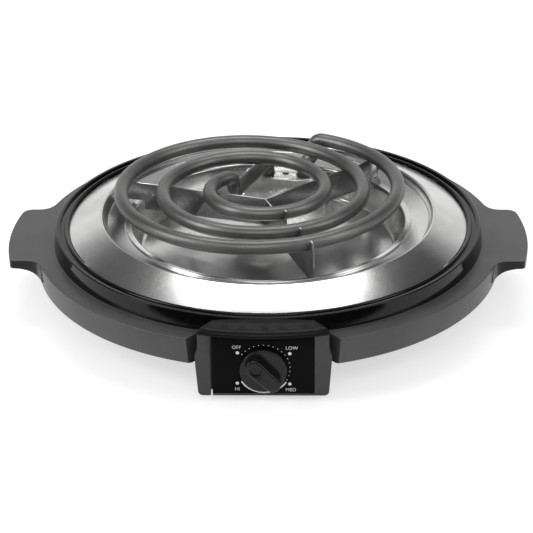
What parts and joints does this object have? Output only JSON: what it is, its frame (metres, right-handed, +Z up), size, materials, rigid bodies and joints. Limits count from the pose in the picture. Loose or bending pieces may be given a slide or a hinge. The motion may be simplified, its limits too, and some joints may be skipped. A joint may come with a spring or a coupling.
{
  "type": "hot plate burner",
  "caption": "Countertop electric coil burner with a polished drip bowl and ring, a moulded body with two side handles, and a turning heat control knob on the front.",
  "frame": {"origin": "on the table, under the axis of the drip bowl, within 2 mm of the middle of the bounding box", "axes": "+Z up along the drip bowl's axis, -Y to the front where the knob is, +X to the right handle"},
  "size_m": [0.268, 0.2474, 0.0603],
  "materials": {
    "body_plastic": "satin moulded plastic",
    "ring_steel": "spun and polished",
    "bowl_steel": "pressed and polished",
    "bracket_steel": "polished sheet",
    "ceramic": "matte ceramic",
    "coil_sheath": "matte grey oxide",
    "support_steel": "plain sheet",
    "housing_plastic": "satin moulded plastic",
    "panel_plastic": "gloss",
    "knob_plastic": "satin",
    "thermostat_case": "matte phenolic",
    "plain_steel": "zinc plated",
    "brass_parts": "turned",
    "pan_steel": "black paint",
    "foot_rubber": "matte",
    "brown_insulation": "matte sleeve",
    "red_insulation": "matte sleeve",
    "blue_insulation": "matte sleeve",
    "green_insulation": "matte sleeve"
  },
  "bodies": {
    "burner": {"body_shell": "body_plastic", "trim_ring": "ring_steel", "drip_bowl": "bowl_steel", "terminal_bracket": "bracket_steel", "terminal_block": "ceramic", "heating_coil": "coil_sheath", "terminal_pins": "plain_steel", "terminal_nuts": "brass_parts", "support_strip": "support_steel", "support_arm": "support_steel", "control_housing": "housing_plastic", "control_panel": "panel_plastic", "thermostat_bushing": "brass_parts", "thermostat_body": "thermostat_case", "thermostat_terminals": "brass_parts", "thermostat_bracket": "plain_steel", "thermostat_screws": "plain_steel", "base_pan": "pan_steel", "base_screws": "plain_steel", "housing_screws": "plain_steel", "feet": "foot_rubber", "foot_screws": "plain_steel", "foot_nuts": "plain_steel", "inlet_grommet": "foot_rubber", "live_wire": "brown_insulation", "element_wire": "red_insulation", "neutral_wire": "blue_insulation", "earth_wire": "green_insulation", "earth_screw": "brass_parts"},
    "control_knob": {"knob": "knob_plastic", "knob_clip": "plain_steel", "thermostat_shaft": "brass_parts"}
  },
  "joints": [
    {"name": "knob_turn", "type": "hinge", "parent": "burner", "child": "control_knob", "pos_m": [0, -0.117, 0.018], "axis": [0, 1, 0], "range_deg": [-191, 101]}
  ]
}
